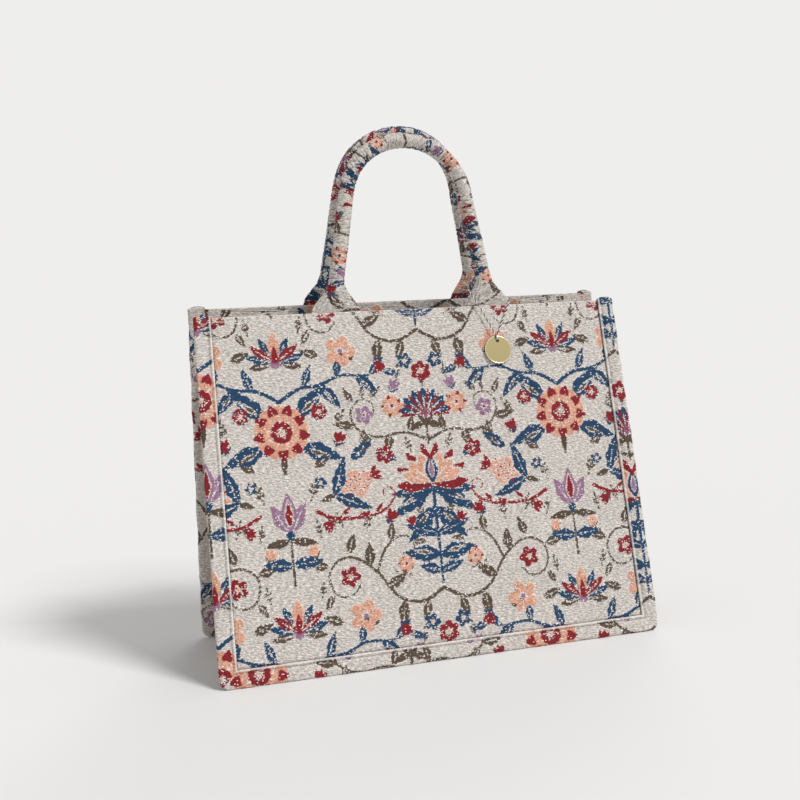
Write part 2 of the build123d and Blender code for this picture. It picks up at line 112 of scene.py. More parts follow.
# Layout of the figures in half a cell, from its mirror line: places, then turns and sizes
LOTUS_LEAVES = (
    (4, -112, 46, 14), (2, -84, 40, 12), (-14, -128, 40, 13), (-38, -60, 32, 11), (-56, -72, 34, 13),
    (-70, -62, 22, 9),
)
LOTUS_PETALS = ((-82, 33), (-56, 36), (-30, 37), (-4, 38))
CARNATION_PETALS = (-76, -50, -25, 0)
PEONY = (130, 62)
PEONY_LEAVES = ((118, 74, 58, 40), (114, 50, 122, 38))
TULIP = (130, -22)
PALMETTE = (130, -108)
PALMETTE_PETALS = ((92, 24, "brown"), (68, 27, "blue"), (46, 27, "red"), (23, 27, "blue"))
FRUIT = (88, 4)
FRUIT_TURN = 66
TENDRIL = ((106, -8), (92, -16), (70, -17), (50, -15), (37, -6), (36, 2))
LOW_STEM = ((0, -84), (20, -96), (44, -88), (58, -62), (82, -46), (102, -58), (98, -80), (82, -84), (74, -74))
MIDDLE_STEM = ((58, -64), (50, -44), (34, -34), (22, -40), (24, -52), (34, -52))
HIGH_STEM = ((0, 46), (22, 56), (44, 50), (64, 58), (70, 76), (58, 88), (46, 82), (48, 72))
BRANCH = ((130, 88), (112, 100), (92, 100), (74, 110), (52, 106), (36, 112))
BRANCH_LEAVES = (
    (108, 100, 30, 22), (92, 101, 150, 27), (78, 108, 20, 20), (60, 108, 140, 26), (48, 107, 50, 22),
    (36, 112, 120, 18), (30, 30, -60, 22), (72, 34, 60, 26),
)
STEM_LEAVES = (
    (14, -94, -150, 18), (36, -92, -160, 22), (50, -78, 70, 20), (64, -58, 10, 20), (82, -46, 30, 18),
    (100, -56, -70, 17), (98, -80, -140, 15), (44, -38, 20, 16), (24, -42, 100, 13), (16, 54, 20, 16),
    (34, 54, -160, 17), (52, 52, -130, 19), (66, 62, -70, 18), (66, 84, -20, 15), (50, 88, 60, 14),
    (104, 30, 60, 18), (60, -106, -80, 20), (92, -104, -60, 18),
)
SMALL_FLOWERS = (
    (82, -66, 8.5, "red", None, "peach"), (32, -60, 7, "peach", "red", "red"),
    (56, 72, 8, "mauve", None, "red"), (30, 78, 9.5, "peach", "red", "red"),
    (72, -100, 13, "peach", None, "mauve"), (41, 36, 8, "red", None, "peach"),
    (96, 78, 7, "red", "blue", "peach"), (14, -112, 7, "blue", None, "peach"),
    (100, 16, 5, "blue", None, "peach"),
)
BUDS = (
    (44, -22, 40, 12, "red", "blue"), (110, -46, -20, 11, "peach", "brown"),
    (20, -28, -30, 10, "red", "brown"), (82, 48, 20, 12, "red", "blue"),
    (28, 92, 20, 11, "mauve", "blue"), (40, -110, 160, 12, "red", "blue"),
)
SPRIGS = (
    (10, -22, -30, 12), (64, -30, 10, 15), (84, -24, -20, 12), (24, 100, 10, 12), (84, 66, 40, 13),
    (110, 2, 20, 16), (60, 44, 10, 12), (104, -30, -10, 12), (28, -70, -70, 12), (108, -82, 10, 12),
    (56, 98, 180, 9), (16, 36, -20, 12),
)

# Cloth colours, as linear light
GROUND = (0.625, 0.575, 0.528)
OUTLINE = (0.82, 0.79, 0.74)
YARN_COLOURS = {
    "red": (0.235, 0.014, 0.020),
    "mauve": (0.300, 0.170, 0.262),
    "peach": (0.665, 0.352, 0.246),
    "blue": (0.017, 0.055, 0.122),
    "brown": (0.098, 0.066, 0.046),
}


def half_width(up):
    """Half the bag's width at a height along the slope of a wall."""
    return body_width / 2 - (body_width - rim_width) / 2 * up / panel_height


def wall_foot(side):
    """Y of a wall's outer face at the floor."""
    lean = LEANS[side]
    return side * (base_depth / 2 + band_puff * (cos(lean) + sin(lean) - 1))


def wall_points(side, across, up, depth):
    """Points of a wall: across the bag, up the wall's slope, and depth behind its outer face."""
    lean = LEANS[side]
    y = wall_foot(side) - side * (up * sin(lean) + depth * cos(lean))
    z = up * cos(lean) - depth * sin(lean)
    return np.stack(np.broadcast_arrays(across, y, z), -1)


def wall_axes(side):
    """Directions out of a wall and up its slope."""
    lean = LEANS[side]
    return np.array([0, side * cos(lean), sin(lean)]), np.array([0, -side * sin(lean), cos(lean)])


def corner_at(side, height, depth):
    """X and Y of the seam line at level heights, depth behind a wall's outer face."""
    lean = LEANS[side]
    up = (height + depth * sin(lean)) / cos(lean)
    point = wall_points(side, half_width(up) - band_width, up, depth)
    return point[..., 0], point[..., 1]


def run_along(points):
    """Length along a line up to each of its points."""
    return np.concatenate([[0], np.cumsum(np.linalg.norm(np.diff(points, axis=0), axis=1))])


def even_line(line, step):
    """Line in even steps, with the length up to each."""
    run = run_along(line)
    even = np.linspace(0, run[-1], int(run[-1] / step))
    return np.stack([np.interp(even, run, values) for values in line.T], -1), even


def rounded(points, times):
    """Line through control points with its corners cut off a few times."""
    points = np.array(points, float)
    for _ in range(times):
        near = 0.75 * points[:-1] + 0.25 * points[1:]
        far = 0.25 * points[:-1] + 0.75 * points[1:]
        middle = np.stack([near, far], 1).reshape(-1, 2)
        points = np.vstack([points[:1], middle[1:-1], points[-1:]])
    return points


def smooth_steps(values, window):
    """Running mean along the first axis with the ends kept."""
    kernel = np.ones(window) / window
    padded = np.pad(values, ((window // 2, window // 2), (0, 0)), mode="edge")
    out = np.stack([np.convolve(column, kernel, "valid") for column in padded.T], -1)
    out[0], out[-1] = values[0], values[-1]
    return out


def wander(points, seed, *waves, seed_step=1):
    """Smooth noise at points, summed over waves of a size and a strength in mm."""
    total = 0
    for number, (size, strength) in enumerate(waves):
        rng = np.random.default_rng(seed + number * seed_step)
        wave = np.zeros(points.shape[:-1])
        for octave in range(4):
            direction = rng.normal(size=(3,))
            direction *= (1 + 0.6 * octave) * 2 * pi / size / np.linalg.norm(direction)
            wave += np.sin(points @ direction + rng.uniform(0, 2 * pi)) / (1 + 0.6 * octave)
        total = total + strength * wave / 2.2
    return total


def bell(values, width):
    """Smooth bump of height 1 about zero."""
    return np.exp(-((values / width) ** 2))


def clamp(values):
    """Values kept between 0 and 1."""
    return np.clip(values, 0, 1)


# Table of the pattern's fields over half a cell: how far each place is inside each colour, in mm
table_columns = int(cell_width / 2 / table_step) + 1
table_rows = int(cell_height / table_step) + 1
fields = {yarn: np.full((table_rows, table_columns), -field_reach) for yarn in YARNS}
table_places = np.arange(max(table_columns, table_rows)) * table_step


def reached(centre, reach, count):
    """Part of a table's side that a touch reaches."""
    if centre + reach < 0:
        return slice(0, 0)
    last = int((centre + reach) / table_step) + 2
    return slice(max(0, int((centre - reach) / table_step)), min(count, last))


def dab(yarn, across, up, radius, cut=False):
    """One round touch of a colour at every place of the repeat, or a touch cut out of it."""
    reach = radius + field_reach
    xs = [x + shift for x in (across, -across) for shift in (-cell_width, 0, cell_width)]
    ys = [up + cell_height / 2 + shift for shift in (-cell_height, 0, cell_height)]
    spans = [(y, reached(y, reach, table_rows)) for y in ys]
    for x in xs:
        columns = reached(x, reach, table_columns)
        for y, rows in spans:
            window = fields[yarn][rows, columns]
            if window.size:
                depth = radius - np.hypot(table_places[columns] - x, table_places[rows, None] - y)
                if cut:
                    np.minimum(window, -depth, out=window)
                else:
                    np.maximum(window, depth, out=window)


def stroke(yarn, points, radii, cut=False):
    """Brush stroke along a smooth curve through control points, with radii at even shares."""
    points = rounded(points, 3)
    along = run_along(points)
    share = np.linspace(0, 1, max(6, int(along[-1] / stroke_step)))
    along /= along[-1]
    xs = np.interp(share, along, points[:, 0])
    ys = np.interp(share, along, points[:, 1])
    rs = np.interp(share, np.linspace(0, 1, len(radii)), radii)
    for x, y, radius in zip(xs, ys, rs):
        dab(yarn, x, y, radius, cut)


def leaf(yarn, across, up, turn, length, width, bend=0.0, teeth=0, cut=False, fat=0.42):
    """Leaf from its stalk end, turned anticlockwise from straight up and bent sideways."""
    turn = radians(turn)
    count = max(8, int(length / leaf_step))
    for k in range(count):
        share = k / (count - 1)
        swell = (share / fat) ** 0.6 if share < fat else ((1 - share) / (1 - fat)) ** 0.75
        radius = width / 2 * swell
        if teeth:
            radius *= 0.72 + 0.5 * ((share * teeth) % 1.0)
        ahead = share * length
        aside = bend * length * sin(pi / 2 * share) ** 2
        if radius > 0.1:
            x = across - ahead * sin(turn) + aside * cos(turn)
            dab(yarn, x, up + ahead * cos(turn) + aside * sin(turn), radius, cut)


def toothed_leaf(yarn, across, up, turn, length, width, bend=0.0, core=None):
    """Leaf with a toothed edge and a vein, or a core of another colour."""
    leaf(yarn, across, up, turn, length, width, bend, teeth=5, fat=0.4)
    if core is None:
        leaf(yarn, across, up, turn, 0.8 * length, 1.0, bend, cut=True, fat=0.5)
        return
    x = across - 0.2 * length * sin(radians(turn))
    y = up + 0.2 * length * cos(radians(turn))
    leaf(yarn, x, y, turn, 0.55 * length, 0.34 * width, 0.6 * bend, cut=True)
    leaf(core, x, y, turn, 0.5 * length, 0.24 * width, 0.6 * bend)


def flower(across, up, petals, radius, petal, tip=None, heart=None, turn=0):
    """Round flower with rounded petals, and tips of another colour showing between them."""
    turns = [turn + 360 * k / petals for k in range(petals)]
    if tip:
        for angle in turns:
            leaf(tip, across, up, angle + 180 / petals, 1.16 * radius, 0.42 * radius, fat=0.7)
        dab(tip, across, up, 0.72 * radius, cut=True)
    for angle in turns:
        leaf(petal, across, up, angle, radius, 0.82 * radius, fat=0.68)
    for angle in turns:
        leaf(petal, across, up, angle, 0.62 * radius, 0.09 * radius, cut=True, fat=0.6)
    dab(petal, across, up, 0.26 * radius, cut=True)
    if heart:
        dab(heart, across, up, 0.18 * radius)


def scroll(yarn, across, up, start, radius):
    """Tendril that curls inwards round a centre."""
    points = []
    for k in range(11):
        angle = radians(start + 30 * k)
        reach = radius * (1 - 0.62 * k / 11)
        points.append((across + reach * sin(angle), up + reach * cos(angle)))
    stroke(yarn, points, [1.1, 0.9, 0.7])


def sprig(across, up, turn, size, yarn="brown"):
    """Small side shoot with two pairs of leaves and one at its tip."""
    tip = (across - size * sin(radians(turn)), up + size * cos(radians(turn)))
    stroke(yarn, [(across, up), tip], [0.9, 0.6])
    for share in (0.35, 0.65):
        x, y = across + (tip[0] - across) * share, up + (tip[1] - up) * share
        for hand in (-1, 1):
            leaf(yarn, x, y, turn + hand * 52, 0.42 * size, 0.2 * size, 0.1 * hand)
    leaf(yarn, *tip, turn, 0.36 * size, 0.22 * size)


def bud(across, up, turn, size, petal, cup):
    """Closed flower that stands in a cup."""
    for spread in (-24, 24, 0):
        leaf(petal, across, up, turn + spread, size, 0.42 * size, fat=0.6)
    for spread in (-58, 58):
        leaf(cup, across, up, turn + spread, 0.62 * size, 0.24 * size)
    dab(cup, across, up, 0.2 * size)


def draw_lotus():
    """Great flower in the middle of the cell, on a leafy stalk."""
    stroke("blue", [(0, -80), (0, -50), (0, 2)], [1.2, 1.7])
    for up, turn, length, width in LOTUS_LEAVES:
        toothed_leaf("blue", 0, up, turn, length, width, 0.14, "brown" if width > 12 else None)
    for turn, length in LOTUS_PETALS:
        leaf("red", 0, 6, turn, length, 12.5, 0.1, fat=0.55)
    for turn in (-66, -42, -16):
        leaf("red", 0, 8, turn, 30, 13, 0.08, cut=True, fat=0.6)
        leaf("peach", 0, 8, turn, 28, 11, 0.08, fat=0.6)
        leaf("peach", 0, 8, turn, 21, 1.6, 0.08, cut=True, fat=0.6)
    leaf("peach", 0, 8, 0, 27, 14, cut=True)
    leaf("blue", 0, 8, 0, 25, 12)
    leaf("blue", 0, 12, 0, 17, 6, cut=True)
    leaf("mauve", 0, 12, 0, 15, 5)
    leaf("blue", 0, 6, -98, 17, 7, -0.1)
    leaf("brown", 0, 6, -128, 15, 6, -0.1)


def draw_carnation():
    """Fan of petals above the great flower."""
    stroke("brown", [(0, 42), (0, 68)], [1.1, 1.5])
    for turn in CARNATION_PETALS:
        leaf("blue", 0, 68, turn, 25, 9, fat=0.7)
        leaf("blue", 0, 68, turn, 20, 1.2, cut=True, fat=0.7)
        leaf("red", 0, 68, turn - 12, 24, 3, fat=0.85)
    leaf("brown", 0, 58, -26, 14, 5, 0.1)
    leaf("brown", 0, 62, -100, 18, 7, 0.16)
    leaf("mauve", 0, 66, 0, 10, 8)
    flower(0, 108, 6, 9, "red", None, "peach")
    sprig(0, 94, 0, 9)


def draw_peony():
    """Great round flower on the cell's edge, with a ring of leaves."""
    for across, up, turn, length in PEONY_LEAVES:
        toothed_leaf("blue", across, up, turn, length, 14, 0.16, "brown")
    flower(*PEONY, 9, 22, "peach", "red")
    flower(*PEONY, 6, 9, "red", None, "peach", 15)
    leaf("brown", *PEONY, 180, 40, 6, fat=0.7)


def draw_tulip():
    """Three-petalled flower under the great round one, on a stalk with curled leaves."""
    edge, up = TULIP
    stroke("brown", [(edge, up - 46), (edge, up)], [1.3, 1.0])
    for hand in (-1, 1):
        leaf("mauve", edge - 2 * hand, up, 42 * hand, 26, 12, 0.2 * hand)
        leaf("mauve", edge - 2 * hand, up, 42 * hand, 20, 1.4, 0.2 * hand, cut=True)
        leaf("brown", edge, up - 8, 112 * hand, 24, 8, 0.18 * hand)
        toothed_leaf("blue", edge, up - 30, 74 * hand, 26, 10, -0.14 * hand)
    leaf("mauve", edge, up, 0, 32, 15)
    leaf("mauve", edge, up + 3, 0, 24, 8.5, cut=True)
    leaf("red", edge, up + 3, 0, 22, 6.5)
    leaf("blue", edge, up, 180, 9, 8)


def draw_palmette():
    """Low spreading flower at the foot of the cell's edge."""
    edge, up = PALMETTE
    for hand in (-1, 1):
        for turn, length, yarn in PALMETTE_PETALS:
            leaf(yarn, edge, up, hand * turn, length, 7.5, -0.1 * hand, fat=0.62)
            leaf(yarn, edge, up, hand * turn, 0.8 * length, 1.3, -0.1 * hand, cut=True)
    leaf("peach", edge, up, 0, 28, 11, fat=0.6)
    leaf("red", edge, up, 0, 17, 6)
    dab("mauve", edge, up, 4.5)


def draw_fruit():
    """Speckled fruit with a crown, between two dark leaves, over a red tendril."""
    across, up = FRUIT
    turn_x, turn_y = sin(radians(FRUIT_TURN)), cos(radians(FRUIT_TURN))
    leaf("peach", across, up, FRUIT_TURN, 38, 25, fat=0.5)
    for row in (-1.5, -0.5, 0.5, 1.5):
        for column in range(5):
            ahead, aside = 9 + 4.6 * column + 2.3 * (row % 2), 4.2 * row
            x, y = across - ahead * turn_x + aside * turn_y, up + ahead * turn_y + aside * turn_x
            leaf("peach", x, y, FRUIT_TURN, 3.4, 2.6, cut=True, fat=0.5)
            leaf("red", x, y, FRUIT_TURN, 2.8, 2.0, fat=0.5)
    for turn in (30, FRUIT_TURN, 102):
        leaf("red", across - 32, up + 14, turn, 12, 4.6, fat=0.6)
    for turn, bend in ((34, 0.2), (100, -0.2)):
        leaf("peach", across + 1, up, turn, 36, 12, bend, cut=True, fat=0.4)
        toothed_leaf("blue", across + 2, up, turn, 36, 11, bend)
    leaf("brown", across, up, -95, 15, 6, 0.15)
    stroke("red", TENDRIL, [1.7, 1.5, 0.9])
    scroll("red", across - 46, up - 2, 200, 8)
    for x, turn in ((across - 4, 60), (across - 20, 110), (across - 34, 50)):
        leaf("red", x, up - 17, turn, 11, 4.2, 0.1)
    bud(across + 4, up - 22, -128, 11, "red", "brown")


def draw_scrolls():
    """Winding brown and blue stems with leaves, buds and small flowers."""
    stroke("brown", LOW_STEM, [1.7, 1.4, 1.2, 0.9])
    stroke("brown", MIDDLE_STEM, [1.4, 1.1, 0.8])
    stroke("brown", HIGH_STEM, [1.4, 1.2, 0.8])
    stroke("blue", BRANCH, [1.9, 1.5, 1.0])
    for across, up, turn, length in BRANCH_LEAVES:
        toothed_leaf("blue", across, up, turn, length, 0.36 * length, 0.12, "brown" if length > 24 else None)
    for across, up, turn, length in STEM_LEAVES:
        toothed_leaf("brown", across, up, turn, length, 0.44 * length, 0.12)
    for across, up, radius, petal, tip, heart in SMALL_FLOWERS:
        flower(across, up, 5, radius, petal, tip, heart, 20)
    for place in BUDS:
        bud(*place)
    for place in SPRIGS:
        sprig(*place)


for draw in (draw_scrolls, draw_carnation, draw_lotus, draw_peony, draw_tulip, draw_palmette, draw_fruit):
    draw()


def look_up(yarn, s, t):
    """Field of a colour at cloth coordinates, in mm."""
    u = np.abs((s + cell_width / 2) % cell_width - cell_width / 2) / table_step
    v = ((t - first_row + cell_height / 2) % cell_height) / table_step
    column = np.minimum(u.astype(int), table_columns - 2)
    row = np.minimum(v.astype(int), table_rows - 2)
    fu, fv = u - column, v - row
    field = fields[yarn]
    low = field[row, column] * (1 - fu) + field[row, column + 1] * fu
    high = field[row + 1, column] * (1 - fu) + field[row + 1, column + 1] * fu
    return low * (1 - fv) + high * fv


def dress(mesh, s, t, fold, painted_shade):
    """Give a cloth mesh its cloth coordinates, the figures' fields, the pale lines on its folds (partly wear,
    partly painted highlight) and the painted shade in its creases.
    """
    values = {yarn: look_up(yarn, s, t) for yarn in YARNS}
    nearest = np.max(list(values.values()), axis=0)
    for name, layers in (
        ("cloth", (s + 4 * cell_width, t + 4 * cell_height, 0 * s)),
        ("warm", (values["red"], values["mauve"], values["peach"])),
        ("cool", (values["blue"], values["brown"], nearest)),
        ("fold", (fold,)),
        ("painted_shade", (painted_shade,)),
    ):
        kind, key = ("FLOAT_VECTOR", "vector") if len(layers) == 3 else ("FLOAT", "value")
        layer = mesh.attributes.new(name, kind, "POINT")
        layer.data.foreach_set(key, np.stack(layers, -1).astype(np.float32).ravel())


def link(name, data):
    """Object of some data, in the scene."""
    item = bpy.data.objects.new(name, data)
    bpy.context.scene.collection.objects.link(item)
    return item


def new_mesh(name, points, faces, unit=MM):
    mesh = bpy.data.meshes.new(name)
    mesh.from_pydata((np.reshape(points, (-1, 3)) * unit).tolist(), [], faces)
    return mesh


def finish_piece(name, mesh, material):
    """Object of a mesh that rides on the bag's body, with its material."""
    for polygon in mesh.polygons:
        polygon.use_smooth = True
    mesh.materials.append(material)
    piece = link(name, mesh)
    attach(piece, "root")
    return piece


def grid_faces(rows, columns, wrap=False, flip=False):
    """Quads of a grid of points, wrapping along its columns where asked."""
    index = np.arange(rows * columns).reshape(rows, columns)
    if wrap:
        index = np.concatenate([index, index[:, :1]], 1)
    quads = np.stack([index[:-1, :-1], index[:-1, 1:], index[1:, 1:], index[1:, :-1]], -1).reshape(-1, 4)
    return (quads[:, ::-1] if flip else quads).tolist()


def cloth_grid(
    name, points, s, t, fold=0.0, painted_shade=0.0, wrap=False, flip=False, material=None, slot="patterned_cloth"
):
    """Cloth piece from a grid of points in mm."""
    rows, columns = points.shape[:2]
    mesh = new_mesh(name, points, grid_faces(rows, columns, wrap, flip))
    dress(mesh, *(np.broadcast_to(values, (rows, columns)).ravel() for values in (s, t, fold, painted_shade)))
    return finish_piece(name, mesh, material or cloth_material)


class Shader:
    """Node tree of a material or a world, cleared and then built up."""

    def __init__(self, owner):
        owner.use_nodes = True
        self.tree = owner.node_tree
        self.tree.nodes.clear()

    def add(self, kind, inputs=(), **settings):
        """Outputs of a new node, with its settings, and its inputs linked or filled."""
        node = self.tree.nodes.new("ShaderNode" + kind)
        for key, value in settings.items():
            setattr(node, key, value)
        for key, value in dict(inputs).items():
            socket = node.inputs[key]
            if isinstance(value, bpy.types.NodeSocket):
                self.tree.links.new(value, socket)
            else:
                socket.default_value = (*value, 1) if socket.type == "RGBA" else value
        return node.outputs

    def math(self, operation, *values, clamp=False):
        return self.add("Math", enumerate(values), operation=operation, use_clamp=clamp)[0]

    def vector(self, operation, *values):
        return self.add("VectorMath", enumerate(values), operation=operation)[0]

    def split(self, vector):
        return self.add("SeparateXYZ", {0: vector})

    def ramp(self, value, scale, offset, clamp=False):
        """value * scale + offset."""
        return self.math("MULTIPLY_ADD", value, scale, offset, clamp=clamp)

    def mix(self, factor, a, b):
        """Colour between two others."""
        return self.add("Mix", {0: factor, 6: a, 7: b}, data_type="RGBA")[2]

    def dim(self, colour, factor):
        """Colour times a number."""
        return self.add("VectorMath", {0: colour, "Scale": factor}, operation="SCALE")[0]

    def attribute(self, name, output="Vector"):
        return self.add("Attribute", attribute_type="GEOMETRY", attribute_name=name)[output]

    def noise(self, vector, scale, detail, rough=0.5):
        inputs = {"Vector": vector, "Scale": scale, "Detail": detail, "Roughness": rough}
        return self.add("TexNoise", inputs)[0]

    def bump(self, height, strength, distance):
        return self.add("Bump", {"Strength": strength, "Distance": distance, "Height": height})[0]

    def end(self, surface, kind="OutputMaterial"):
        self.add(kind, {"Surface": surface})


def woven_material(name, figured=True, ground=GROUND):
    """Slubby jacquard cloth: a pale ground with figures whose edges step from thread to thread."""
    material = bpy.data.materials.new(name)
    shader = Shader(material)
    math, ramp, mix, dim = shader.math, shader.ramp, shader.mix, shader.dim
    place = shader.attribute("cloth")
    threads = shader.vector("SNAP", place, thread_size)
    thread = shader.add("TexWhiteNoise", {"Vector": threads}, noise_dimensions="3D")[0]
    turned = {"Vector": place, "Angle": radians(slub_slant)}
    slanted = shader.add("VectorRotate", turned, rotation_type="Z_AXIS")[0]
    slub = shader.noise(shader.vector("MULTIPLY", slanted, slub_stretch), slub_scale, 3.0, 0.65)
    dash = ramp(slub, 5.0, -2.0, True)
    broad = shader.noise(place, 0.03, 2.0)
    stray = ramp(thread, 2 * edge_stray, -edge_stray)
    yarn_tone = ramp(thread, 0.7, 0.62)
    colour = dim(ground, ramp(dash, 0.46, 0.68))
    colour = dim(colour, ramp(thread, 0.36, 0.82))
    height = math("MULTIPLY", slub, slub_relief)
    if figured:
        red, mauve, peach = shader.split(shader.attribute("warm"))
        blue, brown, nearest = shader.split(shader.attribute("cool"))
        rim = ramp(math("ADD", nearest, stray), 2.5, 1.9, True)
        pale_edge = dim(OUTLINE, ramp(dash, 0.2, 0.86))
        colour = mix(math("MULTIPLY", rim, outline_strength), colour, pale_edge)
        missed = math("MULTIPLY", math("GREATER_THAN", thread, 1 - missed_share), 4.0)
        layers = (("brown", brown), ("blue", blue), ("peach", peach), ("mauve", mauve), ("red", red))
        for yarn, field in layers:
            inside = math("SUBTRACT", math("ADD", field, stray), missed)
            colour = mix(ramp(inside, 3.0, 0.5, True), colour, dim(YARN_COLOURS[yarn], yarn_tone))
        colour = dim(colour, ramp(slub, 0.7, 0.65))
        height = math("ADD", height, ramp(nearest, figure_relief, 0.5, True))
    # Pale line along folds, lips and the rim edge: partly wear, partly painted highlight.
    fold = math("MULTIPLY", shader.attribute("fold", "Fac"), fold_wear_and_highlight, clamp=True)
    colour = mix(fold, colour, OUTLINE)
    colour = dim(colour, ramp(broad, 0.16, 0.92))
    # Painted shade: colour darkened in creases, seams and gathers.
    colour = dim(colour, ramp(shader.attribute("painted_shade", "Fac"), -hollow_shade, 1.0, True))
    rib = math("SINE", math("MULTIPLY", shader.split(place)[1], 2 * pi / rib_spacing))
    height = math("ADD", height, math("MULTIPLY", rib, rib_relief))
    inputs = {
        "Base Color": colour,
        "Roughness": 0.88,
        "Normal": shader.bump(height, 1.0, 0.0005),
        "Sheen Weight": 0.1,
        "Sheen Roughness": 0.5,
        "Specular IOR Level": 0.25,
    }
    shader.end(shader.add("BsdfPrincipled", inputs)[0])
    return material


def plain_material(name, low, high, size, roughness, metallic=0.0, bump=0.3):
    """Material whose colour wanders between two tones, with a fine grain."""
    material = bpy.data.materials.new(name)
    shader = Shader(material)
    grain = shader.noise(shader.add("TexCoord")["Object"], 1 / (size * MM), 4.0, 0.6)
    inputs = {
        "Base Color": shader.mix(grain, low, high),
        "Roughness": shader.ramp(grain, 0.16, roughness - 0.08),
        "Metallic": metallic,
        "Normal": shader.bump(grain, bump, 0.0002),
    }
    shader.end(shader.add("BsdfPrincipled", inputs)[0])
    return material


cloth_material = woven_material("jacquard_cloth")
lining_material = woven_material("lining_cloth", figured=False, ground=(0.50, 0.45, 0.38))
board_material = plain_material("grey_board", (0.40, 0.37, 0.32), (0.52, 0.49, 0.43), 1.5, 0.9)
rope_material = plain_material("cotton_rope", (0.55, 0.50, 0.42), (0.70, 0.66, 0.58), 0.8, 0.9)
brass_material = plain_material("satin_brass", (0.31, 0.26, 0.13), (0.36, 0.30, 0.16), 0.5, 0.48, 1.0, 0.12)
# Brighter brass for the tag's rim: a painted highlight on its edge.
brass_highlight_material = plain_material(
    "brass_painted_highlight", (0.74, 0.66, 0.44), (0.80, 0.72, 0.50), 0.5, 0.26, 1.0, 0.05
)
black_thread_material = plain_material("black_thread", (0.012, 0.011, 0.012), (0.03, 0.028, 0.03), 0.3, 0.8)
white_thread_material = plain_material("white_thread", (0.70, 0.68, 0.64), (0.85, 0.83, 0.80), 0.3, 0.8)

# Walls: each one cloth over its board, turned in over the rim
wall_step = 1.3
wall_tuck = 1.5
rim_corner = 1.0
hem_depth = 12.0
crease_depth = 0.9
crease_width = 1.3
crease_shade_width = 0.8
handle_gap_ease = 4.0
wall_calm_edge = 25.0
pucker_drop = 6.0


def foot_share(across):
    """How much a place along the rim belongs to a handle's foot, from 0 to 1."""
    inside = foot_width / 2 + handle_gap_ease - np.abs(np.abs(across) - foot_spacing / 2)
    return clamp(inside / handle_gap_ease)


def wall_piece(side):
    low = band_width - wall_tuck
    top = panel_height - rim_corner
    rows = int((top - low) / wall_step)
    turns = np.arange(1, 11) / 10
    hem = top - hem_depth * np.arange(1, 5) / 4
    up = np.concatenate([np.linspace(low, top, rows), top + rim_corner * np.sin(pi * turns), hem])[:, None]
    turn = np.concatenate([np.zeros(rows), turns, np.ones(4)])[:, None]
    face = turn == 0
    half = half_width(up) - band_width + wall_tuck
    columns = int(2 * half_width(0) / wall_step)
    across = np.linspace(-1, 1, columns)[None, :] * half
    foot = foot_share(across)
    gap = (cavity_face - panel_face - 0.1) * (1 - foot) + (cloth - 0.1) * foot
    corner = np.minimum(rim_corner, gap / 2)
    bend = np.cos(pi * turn)
    depth = panel_face + np.where(turn <= 0.5, corner * (1 - bend), gap - corner * (1 + bend))
    beyond_seam = np.clip(np.minimum(half - np.abs(across), up - low) - wall_tuck, 0, None)
    depth = depth + crease_depth * bell(beyond_seam, crease_width) * face
    flat = wall_points(side, across, up, depth)
    edge = np.minimum(half - np.abs(across), np.minimum(up - low, np.abs(panel_height - up)))
    ripple = clamp(edge / wall_calm_edge) * wander(flat, 11 + side, (95, 0.55), (31, 0.22), seed_step=10)
    pucker = bell(panel_height - pucker_drop - up, 5) * wander(flat * (1, 0, 0), 5, (17, 0.35))
    points = flat + wall_axes(side)[0] * ((ripple + pucker) * face)[..., None]
    run = run_along(np.stack([up[:, 0], depth[:, columns // 2]], -1)) + low
    # Pale lines at the rim's turn and along the stitch line: partly wear, partly painted highlight.
    fold = 0.7 * clamp(1 - np.abs(turn - 0.25) / 0.3) * (turn > 0)
    fold = fold + 0.55 * bell(up - (panel_height - stitch_drop), 0.55) * face
    # Painted shade in the crease along the seam line.
    painted_shade = bell(beyond_seam, crease_shade_width) * face
    name = NAMES[side]
    s = across * -side
    piece = cloth_grid(f"{name}_wall_cloth", points, s, run[:, None], fold, painted_shade, flip=side > 0)
    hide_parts(f"{name}_panel", *(f"{name}_{yarn}_figures" for yarn in YARNS))


for side in SIDES:
    wall_piece(side)

# Bands: the gusset and base cloth turned over the walls' edges, with a folded lip on the seam line
band_step = 1.25
lip_points = [(2.2, 3.1), (0.4, 3.0), (-0.5, 2.3), (-0.45, 1.2), (0.4, 0.5), (1.4, 0.7), (2.4, 1.25)]
crown_points = [(3.5, 0.95), (5.0, 0.35), (7.5, 0.0), (10.2, 0.0), (12.6, 0.06)]
turn_points = [(14.2, 0.66), (15.0, 2.2), (14.3, 3.9), (12.4, 4.6), (8.0, 4.7), (3.0, 4.7), (0.0, 4.9)]
lip_run = 9.0
BAND_STARTS = {(FRONT, -1): 112.0, (FRONT, 1): -14.0, (BACK, -1): 24.0, (BACK, 1): 76.0}
BAND_PUFFS = ((47, 0.75), (15, 0.45), (5.5, 0.22))
BAND_WAVES = ((33, 0.5), (11, 0.25))
corner_round = 9.0
floor_gap = 0.05


def band_section():
    """A band's section: distance from the seam line, depth, cloth run, share of pale fold line (partly wear,
    partly painted highlight) and share of painted shade.
    """
    points = rounded(lip_points + crown_points + turn_points, 2)
    along = run_along(points)
    run = np.concatenate([np.linspace(0, lip_run, 26), np.linspace(lip_run, along[-1], 30)[1:]])
    x = np.interp(run, along, points[:, 0])
    depth = np.interp(run, along, points[:, 1])
    # Pale line on the lip's ridge: partly wear, partly painted highlight.
    fold = bell(x - 0.3, 0.8) * (depth < 2.4)
    # Painted shade in the groove behind the lip and where the edge tucks under.
    groove = 0.55 * bell(x - 2.5, 0.7) * (depth < 2)
    painted_shade = groove + clamp((depth - 1.9) / 0.8) * (x < 1.5)
    return x, depth, run[None, :], fold[None, :], painted_shade[None, :]


